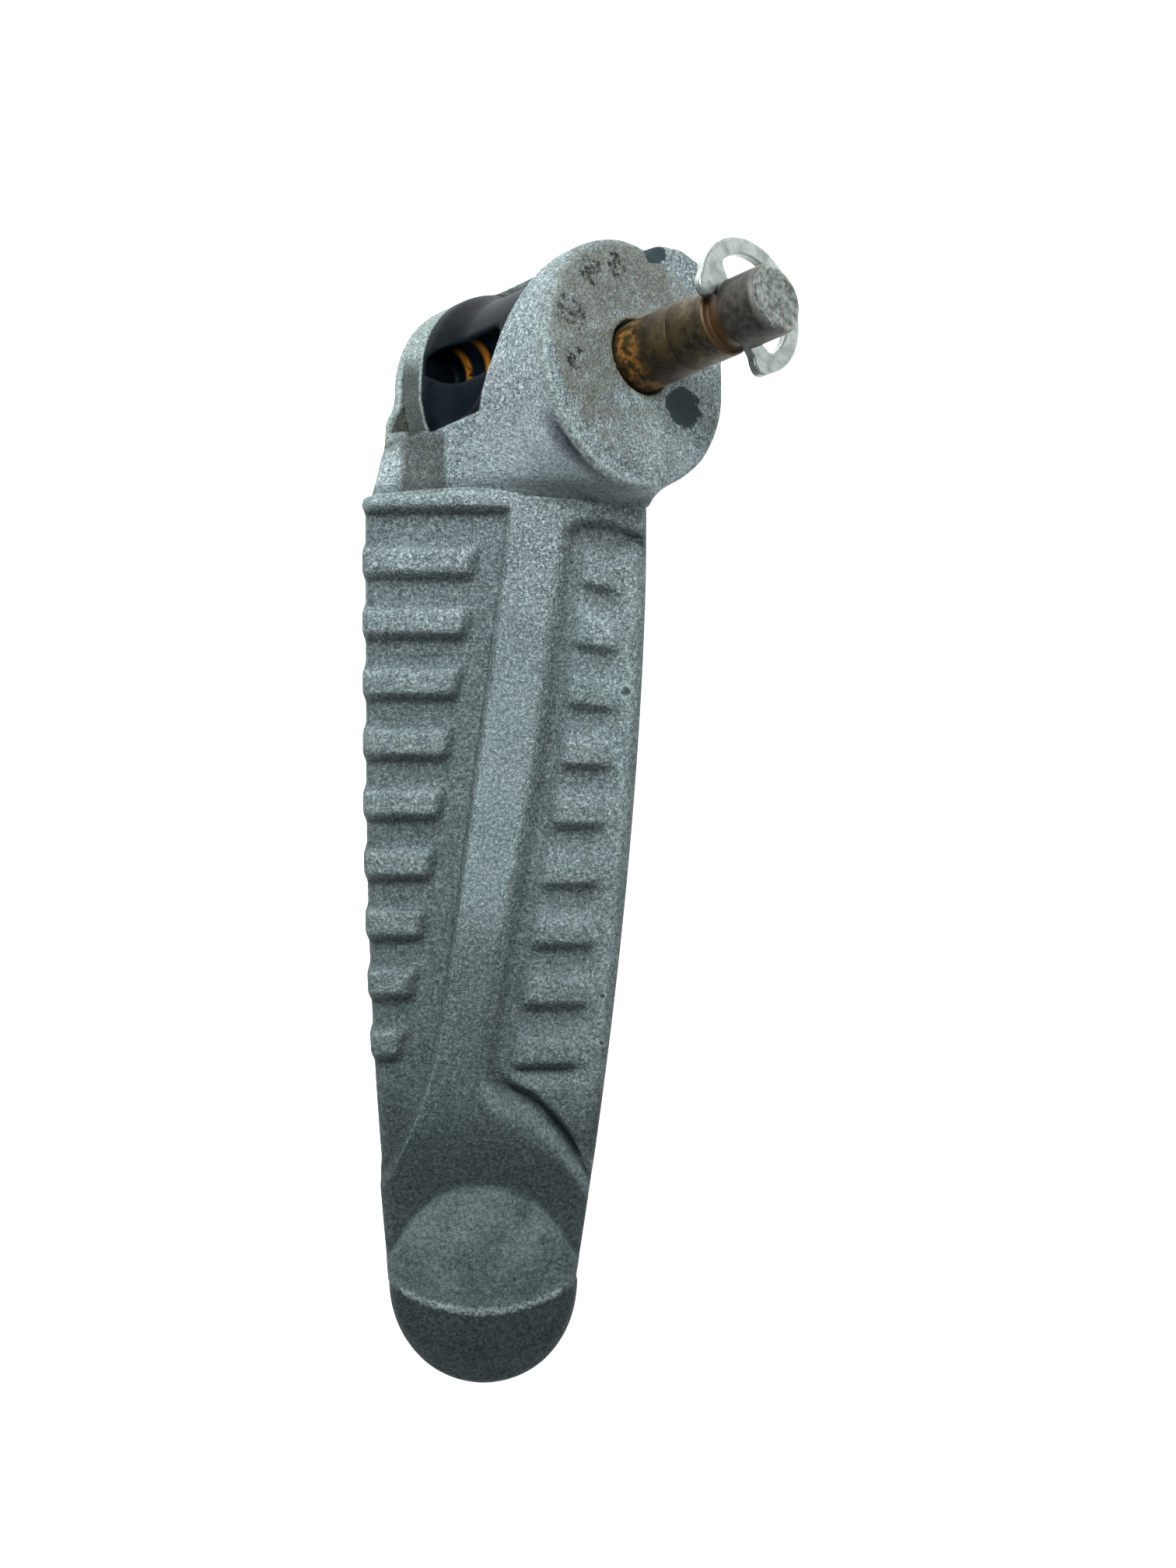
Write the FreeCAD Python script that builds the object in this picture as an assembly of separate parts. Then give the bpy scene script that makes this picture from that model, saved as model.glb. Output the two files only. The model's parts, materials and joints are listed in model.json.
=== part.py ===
"""Folding motorcycle foot peg: cast peg on an inclined pivot pin with an E-clip.

Frame: +X from the hinge out to the tip, +Y across the tread, +Z up out of the tread.
Origin: on the pivot axis, in the outer face of the round hinge boss.  Millimetres.
"""
import FreeCAD, Part
import math
import os

V = FreeCAD.Vector

# hinge axis: rises by hinge_rise and is swept back towards the machine by hinge_sweep
hinge_rise = 42.0
hinge_sweep = 20.0
rise, sweep = math.radians(hinge_rise), math.radians(hinge_sweep)
axis = V(-math.cos(rise) * math.sin(sweep), math.cos(rise) * math.cos(sweep), math.sin(rise))
near = V(math.sin(rise) * math.sin(sweep), -math.sin(rise) * math.cos(sweep), math.cos(rise))
back = axis.cross(near) * -1.0        # points away from the tip, level

# hinge barrel and stop lug
barrel_r = 14.0
barrel_len = 26.0
bore_r = 4.05
bore_lead = 0.5
bracket_ear_r = 11.0      # room for the bracket's ear beside the barrel's inner end
lug_thick = 7.0
# outlines as (angle, radius); angles start at the far side and run towards the back
lug_outline = [(-14, 13.0), (0, 16.2), (24, 18.7), (45, 15.6), (56, 13.0)]
boss_rim = 3.0            # thickness of the boss's flared rim
boss_outline = [(-170, 15.6), (-140, 16.1), (-112, 15.2), (-85, 14.0), (-55, 13.6), (-20, 13.8), (20, 13.9),
                (60, 13.9), (100, 13.8), (138, 13.9), (165, 14.9)]

# window cast into the barrel, and the detent bore that runs beside the pin
window_s = (-20.3, -8.4)
window_v = (1.0, 14.5)
window_floor_r = 12.4     # the shallow window's floor is concentric with the pin
trough_r, trough_w, trough_v, trough_end = 2.6, 9.4, 6.8, -9.5
detent_w, detent_v = 1.6, 8.8
detent_r = 2.75
detent_seat = -11.0

# tread
tread_start, tread_end = 15.5, 117.0
left_y, right_y = -31.3, 1.2
valley_z, rib_z, spine_z, collar_z = -1.0, 0.0, 0.4, 0.3
under_root, under_tip = -17.0, -11.0
rib_count, rib_pitch, rib_width = 9, 6.8, 2.7
left_rib_x, right_rib_x = 21.4, 22.3      # hinge side of the first rib on either side of the spine
left_rib_gap, right_rib_gap = 3.5, 2.7    # between the spine and the ribs' ends
spine_x = (17.0, 81.7)
spine_half, spine_slope = 2.85, 0.149     # the spine crosses the tread as it runs to the tip
collar_width = 2.0
dish_r, dish_centre = 51.0, (99.5, -17.3, 50.2)

# casting recesses under the tread, and the trough in the neck below the window
recess_x, recess_ys, recess_size, recess_corner = 28.0, (-27.5, -14.2), (48.0, 9.4, 12.0), 3.0
recess_bottom = -22.0
neck_trough_points = [(16.5, -27.2, -1.6), (16.5, -21.6, -1.6), (7.5, -21.6, -5.4), (7.5, -24.6, -5.4)]

# pivot pin and E-clip
pin_r = 4.0
journal_r = 3.97
pin_end = 21.1
groove_s, groove_width, groove_r = 14.7, 2.0, 3.15
head_r, head_thick = 6.0, 2.0
clip_r, clip_ring_r, clip_thick = 7.8, 5.8, 1.0
clip_offset = 3.1       # the ring's centre lies this far from the pin's axis, away from the mouth
clip_bore_r = 3.2
clip_turn = 15.0        # angle from the near direction to the clip's mouth
clip_mouth = 58.0       # half the mouth's angle, seen from the ring's centre
prong_angles = (180.0, 95.0, -95.0)
prong_width = 2.4

# detent ball and spring
ball_r = 2.65
ball_proud = 1.0
spring_r, spring_wire, spring_turns = 2.2, 0.7, 5.5


def at(s, w=0.0, v=0.0):
    """Point s along the hinge axis, w on its near side and v towards the back."""
    return axis * s + near * w + back * v


def cylinder(radius, s0, s1, w=0.0, v=0.0):
    """Cylinder parallel to the hinge axis from s0 to s1."""
    return Part.makeCylinder(radius, s1 - s0, at(s0, w, v), axis)


def hinge_block(s, w, v):
    """Box aligned with the hinge axis; each argument is a (low, high) pair."""
    corners = [at(s[0], w[0], v[0]), at(s[0], w[1], v[0]), at(s[0], w[1], v[1]), at(s[0], w[0], v[1])]
    face = Part.Face(Part.makePolygon(corners + corners[:1]))
    return face.extrude(axis * (s[1] - s[0]))


def plan_prism(points, z0, z1):
    """Straight-sided prism from a plan outline of (x, y) points."""
    ring = [V(x, y, z0) for x, y in points]
    return Part.Face(Part.makePolygon(ring + ring[:1])).extrude(V(0, 0, z1 - z0))


def tread_face(z):
    """Plan outline of the peg, with a round tip."""
    a, b = V(tread_start, left_y, z), V(64.0, left_y, z)
    c, d = V(107.0, -27.4, z), V(107.0, -7.5, z)
    tip = V(tread_end, -17.5, z)
    e, f = V(50.0, 0.0, z), V(tread_start, right_y, z)
    edges = [Part.LineSegment(a, b), Part.LineSegment(b, c),
             Part.Arc(c, V(113.2, -24.6, z), tip), Part.Arc(tip, V(113.2, -10.6, z), d),
             Part.LineSegment(d, e), Part.LineSegment(e, f), Part.LineSegment(f, a)]
    return Part.Face(Part.Wire([edge.toShape() for edge in edges]))


def tread_slab(z0, z1):
    """The peg's plan outline as a slab."""
    return tread_face(z0).extrude(V(0, 0, z1 - z0))


def side_envelope():
    """Side view of the peg: underside rising to the tip, domed tip."""
    top = spine_z + 2.0
    p = [V(tread_start, left_y - 5, under_root), V(110.0, left_y - 5, under_tip),
         V(tread_end, left_y - 5, -8.5), V(tread_end, left_y - 5, -3.5),
         V(108.0, left_y - 5, rib_z), V(106.0, left_y - 5, top), V(tread_start, left_y - 5, top)]
    return Part.Face(Part.makePolygon(p + p[:1])).extrude(V(0, 45, 0))


def spine_edge(x, side):
    """Y of the spine's left (-1) or right (+1) edge at x."""
    return -11.6 - spine_slope * (x - 18.9) + side * spine_half


def ribs():
    """Cross ribs either side of the spine."""
    made = []
    height, reach = rib_z - valley_z, 40.0
    for i in range(rib_count):
        x = left_rib_x + i * rib_pitch
        y = spine_edge(x, -1) - left_rib_gap - reach
        made.append(Part.makeBox(rib_width, reach, height, V(x, y, valley_z)))
        x = right_rib_x + i * rib_pitch
        y = spine_edge(x, 1) + right_rib_gap
        rail = -1.1 - 0.07 * (x - right_rib_x)
        made.append(Part.makeBox(rib_width, rail - y, height, V(x, y, valley_z)))
    return made


def side_rail():
    """Smooth band along the right-hand edge, outside the ribs."""
    return plan_prism([(tread_start, -1.0), (90.0, -7.0), (92.0, -2.0), (tread_start, 4.0)], valley_z, rib_z)


def tread():
    """Tread block with collar, ribs, spine, flare and the dished tip pad."""
    block = tread_slab(under_root, valley_z)
    x0, x1 = spine_x
    spine = plan_prism([(x0, spine_edge(x0, -1)), (x1, spine_edge(x1, -1)),
                        (x1, spine_edge(x1, 1)), (x0, spine_edge(x0, 1))], valley_z, spine_z)
    collar_x = tread_start + collar_width
    collar = plan_prism([(tread_start, 5), (tread_start, -35), (collar_x, -35), (collar_x, 5)],
                        valley_z, collar_z)
    flare = plan_prism([(80.0, spine_edge(80, -1)), (84.1, -24.4), (93.0, -28.8), (93.0, -35),
                        (120, -35), (120, 5), (93.5, 5), (92.7, -6.3), (90.6, -8.9), (87.9, -12.4),
                        (85.4, -16.0), (81.0, spine_edge(81, 1))], valley_z, rib_z)
    raised = spine.multiFuse([collar, flare, side_rail()] + ribs())
    top = raised.common(tread_slab(valley_z - 0.01, spine_z))
    solid = block.fuse(top).common(side_envelope())
    return solid.cut(Part.makeSphere(dish_r, V(*dish_centre)))


def neck():
    """Twisted transition from the square collar into the inclined barrel."""
    x = tread_start + 0.5
    square = [V(x, left_y, valley_z), V(x, right_y, valley_z), V(x, right_y, under_root), V(x, left_y, under_root)]
    inset = 1.5
    reach = barrel_r - inset
    bar = [at(-barrel_len + 0.2, reach), at(-0.8, reach), at(-0.8, -reach), at(-barrel_len + 0.2, -reach)]
    return Part.makeLoft([Part.makePolygon(square + square[:1]), Part.makePolygon(bar + bar[:1])], True, True)


def lug():
    """Stop lug on the far side of the boss."""
    ring = [at(0, 0, 0)]
    for angle, radius in lug_outline:
        t = math.radians(angle)
        ring.append(at(0, -radius * math.cos(t), radius * math.sin(t)))
    return Part.Face(Part.makePolygon(ring + ring[:1])).extrude(axis * -lug_thick)


def boss_flare():
    """Rim of the boss, wider than the barrel on its near side."""
    ring = []
    for angle, radius in boss_outline:
        t = math.radians(angle)
        ring.append(at(0, -radius * math.cos(t), radius * math.sin(t)))
    outline = Part.BSplineCurve()
    outline.interpolate(Points=ring, PeriodicFlag=True)
    return Part.Face(Part.Wire(outline.toShape())).extrude(axis * -boss_rim)


def neck_trough():
    """Shallow trough in the neck below the window."""
    low = [V(*point) for point in neck_trough_points]
    return Part.Face(Part.makePolygon(low + low[:1])).extrude(V(0, 0, 12))


def underside_recesses():
    """Two casting recesses under the tread, with a web between them."""
    made = []
    for y in recess_ys:
        pocket = Part.makeBox(*recess_size, V(recess_x, y, recess_bottom))
        upright = [edge for edge in pocket.Edges if abs(edge.tangentAt(0).z) > 0.9]
        made.append(pocket.makeFillet(recess_corner, upright))
    return made


def make_casting():
    """The cast peg: tread, neck, barrel, boss and lug in one piece."""
    outer = tread().fuse([neck(), cylinder(barrel_r, -barrel_len, 0), lug(), boss_flare()])
    lead = Part.makeCone(bore_r, bore_r + bore_lead + 0.1, bore_lead + 0.1, at(-bore_lead), axis)
    cuts = [cylinder(bore_r, -barrel_len - 30, 30), lead,
            cylinder(bracket_ear_r, -barrel_len - 30, -barrel_len),
            hinge_block(window_s, (0, 30), window_v).cut(cylinder(window_floor_r, *window_s)),
            cylinder(trough_r, window_s[0], trough_end, trough_w, trough_v),
            cylinder(detent_r, -barrel_len - 5, detent_seat, detent_w, detent_v)]
    solid = outer.cut(cuts + underside_recesses() + [neck_trough()])
    return max(solid.Solids, key=lambda part: part.Volume).removeSplitter()


def make_pin():
    """Headed pivot pin with a clip groove and a chamfered end."""
    head_s = -barrel_len - 0.3
    body = cylinder(journal_r, head_s, -bore_lead)
    stem = cylinder(pin_r, -bore_lead, groove_s - groove_width / 2)
    waist = cylinder(groove_r, groove_s - groove_width / 2, groove_s + groove_width / 2)
    chamfer = 0.4
    land = cylinder(pin_r, groove_s + groove_width / 2, pin_end - chamfer)
    end = Part.makeCone(pin_r, pin_r - chamfer, chamfer, at(pin_end - chamfer), axis)
    head = cylinder(head_r, head_s - head_thick + 0.5, head_s)
    crown = Part.makeCone(head_r - 0.5, head_r, 0.5, at(head_s - head_thick), axis)
    return body.fuse([stem, waist, land, end, head, crown])


def make_clip():
    """E-clip: open eccentric ring with three inward prongs that ride in the groove."""
    s0 = groove_s - clip_thick / 2
    s1 = groove_s + clip_thick / 2
    ring = cylinder(clip_r, s0, s1, -clip_offset).cut(cylinder(clip_ring_r, s0, s1, -clip_offset))
    reach = 2 * clip_r
    spread = reach * math.tan(math.radians(clip_mouth))
    below, far = s0 - 1, reach - clip_offset
    wedge = [at(below, -clip_offset, 0), at(below, far, -spread), at(below, far, spread)]
    ring = ring.cut(Part.Face(Part.makePolygon(wedge + wedge[:1])).extrude(axis * (clip_thick + 2)))
    outline = cylinder(clip_ring_r + 1, s0, s1, -clip_offset)
    prongs = []
    for angle in prong_angles:
        prong = hinge_block((s0, s1), (clip_bore_r - 1.0, 2 * clip_r), (-prong_width / 2, prong_width / 2))
        prong.rotate(V(0, 0, 0), axis, angle)
        prongs.append(prong.common(outline))
    clip = ring.fuse(prongs).cut(cylinder(clip_bore_r, s0 - 1, s1 + 1))
    clip.rotate(V(0, 0, 0), axis, clip_turn)
    return clip


def make_ball():
    """Detent ball in the mouth of its bore, standing proud of the barrel's end face."""
    return Part.makeSphere(ball_r, at(-barrel_len - ball_proud + ball_r, detent_w, detent_v))


def make_spring():
    """Compression spring between the ball and the seat of the detent bore."""
    start = -barrel_len - ball_proud + 2 * ball_r + spring_wire / 2 + 0.05
    length = detent_seat - spring_wire / 2 - 0.1 - start
    helix = Part.makeHelix(length / spring_turns, length, spring_r)
    wire = Part.Wire(Part.makeCircle(spring_wire / 2, V(spring_r, 0, 0), V(0, 1, 0)))
    coil = Part.Wire(helix).makePipeShell([wire], True, True)
    turn = FreeCAD.Rotation(V(0, 0, 1), axis)
    coil.Placement = FreeCAD.Placement(at(start, detent_w, detent_v), turn)
    return coil


makers = {
    "peg_casting": make_casting,
    "pivot_pin": make_pin,
    "e_clip": make_clip,
    "detent_ball": make_ball,
    "detent_spring": make_spring,
}

os.makedirs("parts", exist_ok=True)
for node, maker in makers.items():
    shape = maker()
    box = shape.BoundBox
    print(node, "solids", len(shape.Solids), "valid", shape.isValid(), "volume", round(shape.Volume, 1),
          [round(c, 1) for c in (box.XMin, box.XMax, box.YMin, box.YMax, box.ZMin, box.ZMax)])
    shape.exportStep("parts/%s.step" % node)
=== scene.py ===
import json
import math
import bpy
import numpy as np
from mathutils import Matrix


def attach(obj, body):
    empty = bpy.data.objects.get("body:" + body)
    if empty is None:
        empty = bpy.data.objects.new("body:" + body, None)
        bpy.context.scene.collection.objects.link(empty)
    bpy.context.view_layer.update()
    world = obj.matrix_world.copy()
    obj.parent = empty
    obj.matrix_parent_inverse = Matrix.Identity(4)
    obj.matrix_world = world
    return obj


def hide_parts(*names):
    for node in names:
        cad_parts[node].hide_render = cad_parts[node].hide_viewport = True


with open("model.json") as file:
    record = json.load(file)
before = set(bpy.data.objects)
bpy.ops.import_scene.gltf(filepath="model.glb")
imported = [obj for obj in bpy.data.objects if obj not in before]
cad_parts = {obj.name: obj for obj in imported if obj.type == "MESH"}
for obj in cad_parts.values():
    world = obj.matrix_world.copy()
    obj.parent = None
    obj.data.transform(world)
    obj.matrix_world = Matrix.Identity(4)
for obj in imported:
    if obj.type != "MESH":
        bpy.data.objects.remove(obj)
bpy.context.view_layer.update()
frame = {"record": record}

mm = 0.001
joints = {joint["name"]: joint for joint in frame["record"]["behaviour"]["joints"]}

# hinge directions: along the pin, near side (up and inboard), and back (level, away from the tip)
along = -np.array(joints["fold"]["axis"])
near = np.array([0.0, 0.0, 1.0]) - along * along[2]
near /= np.linalg.norm(near)
back = np.cross(near, along)


def at(s, w=0.0, v=0.0):
    # point in mm: s along the pin, w to the near side, v to the back
    return along * s + near * w + back * v


def softStep(x, low, high):
    t = np.clip((x - low) / (high - low), 0, 1)
    return t * t * (3 - 2 * t)


def smoothMin(a, b, k):
    # union of two fields with a fillet of about k
    h = np.clip(0.5 + 0.5 * (b - a) / k, 0, 1)
    return b + (a - b) * h - k * h * (1 - h)


def smoothMax(a, b, k):
    return -smoothMin(-a, -b, k)


def blur(x, reach, knotsX, knotsY):
    # straight runs between knots with the corners rounded over the reach
    return sum(np.interp(x + d * reach, knotsX, knotsY) for d in (-1, -0.5, 0, 0.5, 1)) / 5


def makeMesh(name, points, faces, sharp=180):
    mesh = bpy.data.meshes.new(name)
    mesh.from_pydata((points * mm).tolist(), [], faces.tolist() if hasattr(faces, "tolist") else faces)
    mesh.polygons.foreach_set("use_smooth", [True] * len(mesh.polygons))
    if sharp < 180:
        mesh.set_sharp_from_angle(angle=math.radians(sharp))
    piece = bpy.data.objects.new(name, mesh)
    bpy.context.scene.collection.objects.link(piece)
    return piece


def netSkin(name, field, low, high, cell):
    # closed skin around the negative part of a field:
    # one vertex per crossed cell at the mean of its edge crossings, one quad per crossed edge,
    # then three steps down the gradient put every vertex on the surface itself
    axes = [np.arange(a, b + cell, cell) for a, b in zip(low, high)]
    grid = np.meshgrid(*axes, indexing="ij", sparse=True)
    value = np.broadcast_to(field(*grid), [len(a) for a in axes]).astype(np.float32)
    size = np.array(value.shape) - 1
    total = np.zeros((*size, 3), np.float32)
    count = np.zeros(size, np.int32)
    crossings = []
    for axis in range(3):
        lower = np.take(value, range(0, size[axis]), axis)
        upper = np.take(value, range(1, size[axis] + 1), axis)
        crossed = (lower < 0) != (upper < 0)
        share = np.where(crossed, lower / np.where(crossed, lower - upper, 1), 0)
        crossings.append((crossed, lower < 0))
        others = [k for k in range(3) if k != axis]
        for i in (0, 1):
            for j in (0, 1):
                cut = [slice(None)] * 3
                cut[others[0]] = slice(i, size[others[0]] + i)
                cut[others[1]] = slice(j, size[others[1]] + j)
                hit = crossed[tuple(cut)]
                count += hit
                total[..., axis] += share[tuple(cut)] * hit
                total[..., others[0]] += i * hit
                total[..., others[1]] += j * hit
    used = count > 0
    number = np.full(size, -1, np.int64)
    number[used] = np.arange(used.sum())
    corner = np.argwhere(used)
    points = (corner + total[used] / count[used][:, None]) * cell + np.array([a[0] for a in axes])
    quads = []
    for axis in range(3):
        crossed, inner = crossings[axis]
        b, c = (axis + 1) % 3, (axis + 2) % 3
        where = np.argwhere(crossed)
        within = (where[:, b] > 0) & (where[:, c] > 0) & (where[:, b] < size[b]) & (where[:, c] < size[c])
        where = where[within]
        ring = []
        for i, j in ((1, 1), (0, 1), (0, 0), (1, 0)):
            cellAt = where.copy()
            cellAt[:, b] -= i
            cellAt[:, c] -= j
            ring.append(number[tuple(cellAt.T)])
        ring = np.stack(ring, 1)
        flip = ~inner[tuple(where.T)]
        ring[flip] = ring[flip][:, ::-1]
        quads.append(ring)
    quads = np.concatenate(quads)
    for _ in range(3):
        slope = gradient(field, points)
        travel = field(*points.T) / np.maximum((slope ** 2).sum(1), 0.2)
        points = points - slope * travel[:, None].clip(-0.3, 0.3)
    piece = makeMesh(name, points, quads)
    outward = gradient(field, points)
    outward /= np.linalg.norm(outward, axis=1)[:, None]
    # hollow: how far a point just outside the skin lies inside the solid; the finish uses it as painted shade
    # in creases and corners
    setAttribute(piece, "hollow", np.clip(1 - field(*(points + outward * 1.1).T) / 1.1, 0, 1))
    setAttribute(piece, "ridge", np.clip(1 + field(*(points - outward * 0.9).T) / 0.9, 0, 1))
    print(name, len(points), "points", len(quads), "quads")
    return piece


def gradient(field, points, reach=0.02):
    step = np.eye(3) * reach
    return np.stack([field(*(points + d).T) - field(*(points - d).T) for d in step], 1) / (2 * reach)


def readPoints(piece):
    points = np.empty(len(piece.data.vertices) * 3)
    piece.data.vertices.foreach_get("co", points)
    return points.reshape(-1, 3) / mm


def setAttribute(piece, name, values):
    layer = piece.data.attributes.new(name, "FLOAT", "POINT")
    layer.data.foreach_set("value", values.astype(np.float32))


tread = {
    "collarX": 14.2, "collarArch": 1.25, "grooveX": 17.0,
    "ribStart": 21.3, "ribPitch": 6.8, "ribWidth": 2.9, "ribCount": 9,
    "valley": -1.75, "crown": 0.75,
    "tipX": 104.0, "tipReach": 12.95, "tipHalf": 10.75, "tipY": -17.5,
    "edgeRound": 1.9, "underRoot": -16.9, "underRise": 0.0635, "cell": 0.36,
}


def leftSide(x):
    return -31.1 + 2.75 * (np.clip(x - 45, 0, 59) / 59) ** 2.08


def rightSide(x):
    return 1.05 - 7.95 * (np.clip(x - 20, 0, 84) / 84) ** 1.675


def spineLeft(x):
    return blur(x, 1.6, [17, 29.7, 46.6, 69.2, 79.5, 84.1, 89.4, 93.0, 97.0],
                [-14.2, -15.7, -18.0, -21.1, -23.0, -24.4, -26.8, -28.8, -34.0])


def spineRight(x):
    return blur(x, 1.2, [17, 46.6, 64.7, 80.5, 82.6, 85.4, 87.9, 90.6, 92.7, 96.0],
                [-8.5, -12.2, -15.4, -18.1, -17.9, -16.0, -12.4, -8.9, -6.3, 2.0])


def ribWave(x, start, rise, fall):
    # 1 on a rib's top, rising over one length on its hinge side and falling over another on its tip side
    t = tread
    phase = np.mod(x - start + 2.6, t["ribPitch"]) - 2.6
    phase = np.where(phase > t["ribPitch"] - 2.6, phase - t["ribPitch"], phase)
    wave = softStep(phase, -rise * 0.75, rise * 0.25)
    wave = wave * (1 - softStep(phase - t["ribWidth"], -fall / 2, fall / 2))
    last = start + (t["ribCount"] - 1) * t["ribPitch"] + t["ribWidth"]
    return wave * (x > start - 2.6) * (x < last + 1.5)


def treadRelief(x, y):
    # height of the tread: 0 in the valleys, 1 on collar, spine, ribs, side band and tip
    t = tread
    left, right = spineLeft(x), spineRight(x)
    slopeLeft = np.hypot(1, (spineLeft(x + 0.3) - spineLeft(x - 0.3)) / 0.6)
    slopeRight = np.hypot(1, (spineRight(x + 0.3) - spineRight(x - 0.3)) / 0.6)
    # the spine's left side is steep; its right side runs out wider, most of all at the flare
    foot = -2.3 - 1.6 * softStep(x, 80, 84)
    spine = softStep((y - left) / slopeLeft, -0.7, 0.5) * softStep((right - y) / slopeRight, foot, 0.4)
    collar = 1 - softStep(x, t["grooveX"] - 0.9, t["grooveX"] + 0.5)
    ribEnd = left - 3.3 - 0.012 * (x - 20)
    ribLeft = ribWave(x, t["ribStart"], 1.5, 1.5) * softStep(ribEnd - y, -0.7, 1.0) * (y < left)
    inner = right + 3.0 + 0.012 * (x - 25)
    fade = 1 - 0.85 * softStep(y - rightSide(x), -4.4, -0.6)
    # the first steps slant towards the tip as they run to the edge
    slant = 0.24 * (y - inner) * (1 - softStep(x, 20, 56))
    ribRight = ribWave(x - slant, t["ribStart"] + 0.9, 3.2, 1.5) * softStep(y - inner, -0.6, 1.0)
    arch = 18.3 + np.where(y < -5.6, 0.12, 0.035) * (y + 5.6) ** 2
    header = (1 - softStep(x - arch, -0.8, 0.9)) * softStep(y - right, -2.6, -1.0)
    # right of the spine the ribs are low steps that fade out towards the edge
    bench = softStep(y - inner, -2.2, 0.8) * (0.22 + 0.78 * softStep(y - rightSide(x), -4.6, -0.9))
    bench = bench * softStep(x, 19.5, 22.5)
    after = softStep(x, 79.8, 82.2) * softStep(y + 14.6, -0.8, 1.2) * softStep(scoopLine(y) - x, -0.3, 1.3)
    bench = bench * (1 - softStep(x, 79.5, 82) * softStep(x - scoopLine(y), -1.5, 0.5))
    right = bench + (1 - bench) * np.maximum(ribRight * fade * 0.9, after * 0.9)
    raised = 1 - (1 - spine) * (1 - collar) * (1 - ribLeft * 0.9) * (1 - right)
    return 1 - (1 - raised) * (1 - header)


def treadTop(x, y):
    t = tread
    middle = (leftSide(x) + rightSide(x)) / 2
    half = (rightSide(x) - leftSide(x)) / 2
    height = t["valley"] * (1 - treadRelief(x, y)) - t["crown"] * ((y - middle) / half) ** 2
    # narrow scoop along the flare's right-hand edge, deeper than the steps
    scoop = softStep(y - spineRight(x), 0.8, 3.0) * (1 - 0.8 * softStep(y - rightSide(x), -2.8, -0.6))
    height = height - 0.7 * np.exp(-((x - scoopLine(y) - 0.4) / 1.3) ** 2) * scoop
    # beyond the spine the top sinks to an arched crease, then climbs to a curved ridge at the tip
    creaseX, ridgeX = tipCrease(y), tipRidge(y)
    sink = 1.5 * softStep(x, 80.0, 96.0)
    climb = np.clip((x - creaseX) / (ridgeX - creaseX), 0, 1)
    rest = 1.5 * softStep(creaseX, 80.0, 96.0) * (1 - climb) ** 1.3
    rest = rest * (1 - 0.5 * softStep(x - creaseX, 0, 1.6))
    height = height - blurStep(x - creaseX, 0.35, sink, rest)
    height = height + 0.3 * np.exp(-((x - ridgeX) / 0.7) ** 2)
    return height - 4.2 * (np.clip(x - ridgeX - 0.3, 0, 13) / 9.5) ** 1.6


def scoopLine(y):
    return blur(y, 0.8, [-18.5, -15.5, -11.5, -8.4, -6.0, -4.0], [79.3, 81.4, 83.4, 86.8, 90.6, 95.0])


def blurStep(x, reach, before, after):
    share = softStep(x, -reach, reach)
    return before + (after - before) * share


def tipCrease(y):
    return 92.9 + 6.8 * (np.abs(y + 17.5) / 10) ** 2.5


def tipRidge(y):
    return 107.3 - ((y + 17.6) / 9.6) ** 2 * 2.7


def treadField(x, y, z):
    t = tread
    valleyCut = 0.38 * (1 - treadRelief(x, leftSide(x) + 1.5 + 0 * y)) * softStep(z, -9, -2.5)
    sides = smoothMax(leftSide(x) - y + valleyCut, y - rightSide(x), 0.3)
    oval = np.hypot((x - t["tipX"]) / t["tipReach"], (y - t["tipY"]) / t["tipHalf"])
    tip = (oval - 1) * t["tipHalf"]
    plan = np.where(x > t["tipX"], tip, sides) + 0.05 * np.abs(z + 3.5)
    under = t["underRoot"] + (x - 15) * t["underRise"] - z
    under = under + 4.0 * softStep(x, 100, 118)
    body = smoothMax(plan, z - treadTop(x, y), t["edgeRound"])
    body = smoothMax(body, under, 3.0)
    collarFace = t["collarX"] + t["collarArch"] * ((y + 16) / 16) ** 2 - x
    body = smoothMax(body, collarFace, 1.1)
    for middle in (-22.8, -9.5):
        slot = smoothMax(np.abs(x - 52) - 24, np.abs(y - middle) - 4.7, 3.0)
        body = smoothMax(body, -smoothMax(slot, z + 10, 2.0), 0.8)
    return body


hinge = {
    "radius": 14.0, "length": 26.0, "bore": 4.05, "lead": 0.35,
    "lugDepth": 7.0, "neckBlend": 3.2, "cell": 0.31,
    "detentRadius": 2.75, "detentW": 1.6, "detentV": 8.8,
    "floorRadius": 12.4, "troughRadius": 2.5, "troughW": 9.5, "troughV": 6.3, "earRadius": 11.0,
    "bossTurns": [-180, -170, -155, -140, -128, -112, -99, -81, -57, -25, -14, 0, 14, 26, 37, 49, 56,
                  70, 110, 138, 150, 165, 180],
    "bossRadii": [15.6, 15.7, 15.9, 16.2, 15.9, 15.3, 14.6, 13.8, 13.3, 13.5, 14.1, 16.2, 18.2, 18.7,
                  17.7, 15.6, 13.9, 14.0, 13.6, 13.7, 14.1, 14.9, 15.6],
}


def bossRadius(turn):
    # turn in degrees from the far side towards the back; the stop lug is the hump
    return np.interp(turn, hinge["bossTurns"], hinge["bossRadii"])


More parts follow.
